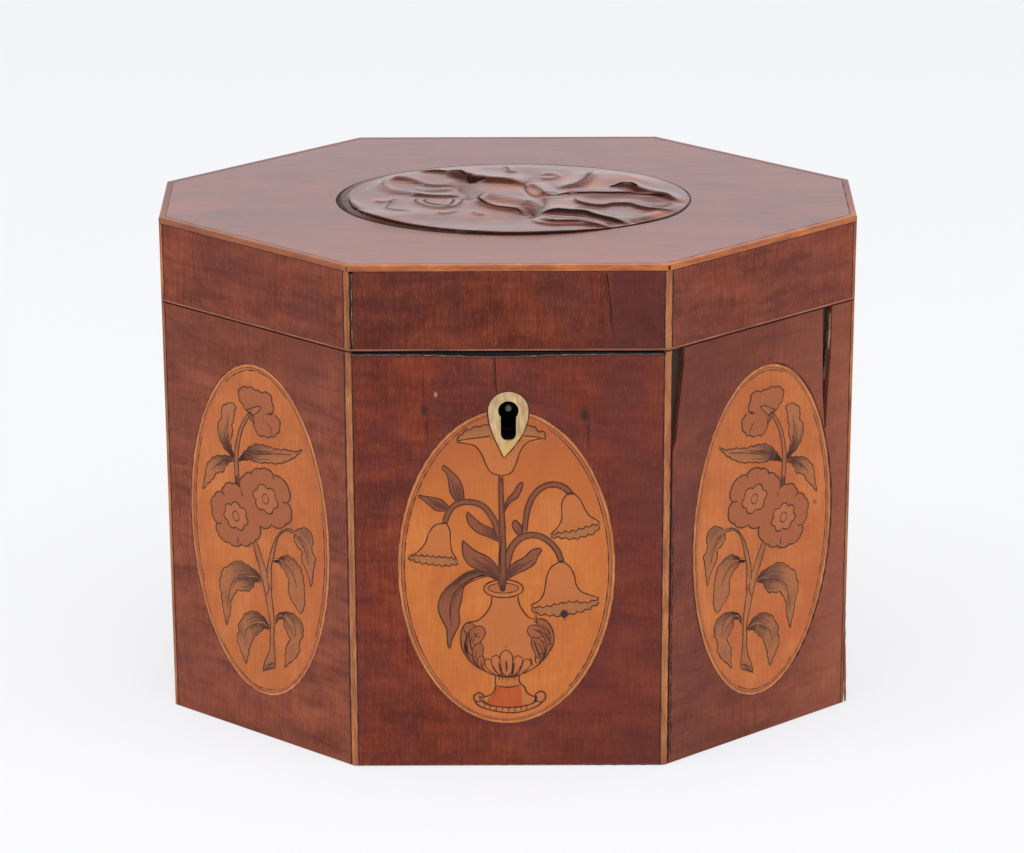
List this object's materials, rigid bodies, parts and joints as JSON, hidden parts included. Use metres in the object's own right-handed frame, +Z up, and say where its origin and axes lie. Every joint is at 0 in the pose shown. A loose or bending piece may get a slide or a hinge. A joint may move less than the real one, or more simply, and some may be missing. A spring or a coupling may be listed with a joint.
{
  "type": "tea caddy",
  "caption": "Eight-sided veneered tea caddy with a hinged lid, inlaid ovals, a keyhole escutcheon and box lock, and a loose inner lid over a foil-lined compartment.",
  "frame": {"origin": "centre of the underside of the base board", "axes": "+X to the viewer's right along the long side, -Y out of the front face with the keyhole, +Z up"},
  "size_m": [0.156, 0.0943, 0.1203],
  "materials": {
    "carcass_deal": "planed deal, bare inside",
    "figured_veneer": "polished figured veneer, waxed",
    "boxwood": "boxwood string, polished",
    "satinwood": "satinwood, polished",
    "stained_sycamore": "stained sycamore, shaded in hot sand, polished",
    "toned_holly": "holly toned by age, polished",
    "bone": "bone, yellowed and polished",
    "mahogany": "mahogany, oiled",
    "brass": "worn brass",
    "steel": "dark iron",
    "tea_lead": "dull tea lead foil"
  },
  "bodies": {
    "case": {"back_board": "carcass_deal", "back_left_board": "carcass_deal", "back_right_board": "carcass_deal", "base_board": "carcass_deal", "canted_flowers": "toned_holly", "canted_foliage": "stained_sycamore", "canted_ovals": "satinwood", "case_back_left_veneer": "figured_veneer", "case_back_right_veneer": "figured_veneer", "case_back_veneer": "figured_veneer", "case_corner_strings": "boxwood", "case_front_left_veneer": "figured_veneer", "case_front_right_veneer": "figured_veneer", "case_front_veneer": "figured_veneer", "case_left_veneer": "figured_veneer", "case_right_veneer": "figured_veneer", "compartment_linings": "mahogany", "escutcheon": "bone", "front_board": "carcass_deal", "front_flowers": "toned_holly", "front_foliage": "stained_sycamore", "front_left_board": "carcass_deal", "front_oval": "satinwood", "front_right_board": "carcass_deal", "front_urn": "toned_holly", "hinge_case_leaves": "brass", "hinge_case_screws": "brass", "hinge_pins": "steel", "left_board": "carcass_deal", "lock_case": "steel", "lock_pin": "steel", "lock_plate": "brass", "lock_screws": "brass", "lock_spring": "steel", "oval_bandings": "boxwood", "right_board": "carcass_deal", "tea_foil": "tea_lead"},
    "lid": {"lid_arris_strings": "boxwood", "lid_back_rail": "carcass_deal", "lid_back_veneer": "figured_veneer", "lid_canted_rails": "carcass_deal", "lid_canted_veneers": "figured_veneer", "lid_corner_strings": "boxwood", "lid_front_rail": "carcass_deal", "lid_front_veneer": "figured_veneer", "lid_lining": "tea_lead", "lid_oval": "figured_veneer", "lid_rim_strings": "boxwood", "lid_side_rails": "carcass_deal", "lid_side_veneers": "figured_veneer", "lid_top_board": "carcass_deal", "lid_top_veneer": "figured_veneer", "hinge_lid_leaves": "brass", "hinge_lid_screws": "brass", "link_plate": "brass", "link_screws": "brass"},
    "bolt": {"lock_bolt": "steel"},
    "inner_lid": {"inner_lid": "mahogany", "inner_lid_knob": "bone"}
  },
  "joints": [
    {"name": "lid_hinge", "type": "hinge", "parent": "case", "child": "lid", "pos_m": [0, 0.0464, 0.1002], "axis": [-1, 0, 0], "range_deg": [0, 95]},
    {"name": "bolt_slide", "type": "slide", "parent": "case", "child": "bolt", "axis": [1, 0, 0], "range_m": [0, 0.0045]},
    {"name": "inner_lid_lift", "type": "slide", "parent": "case", "child": "inner_lid", "axis": [0, 0, 1], "range_m": [0, 0.014]}
  ]
}
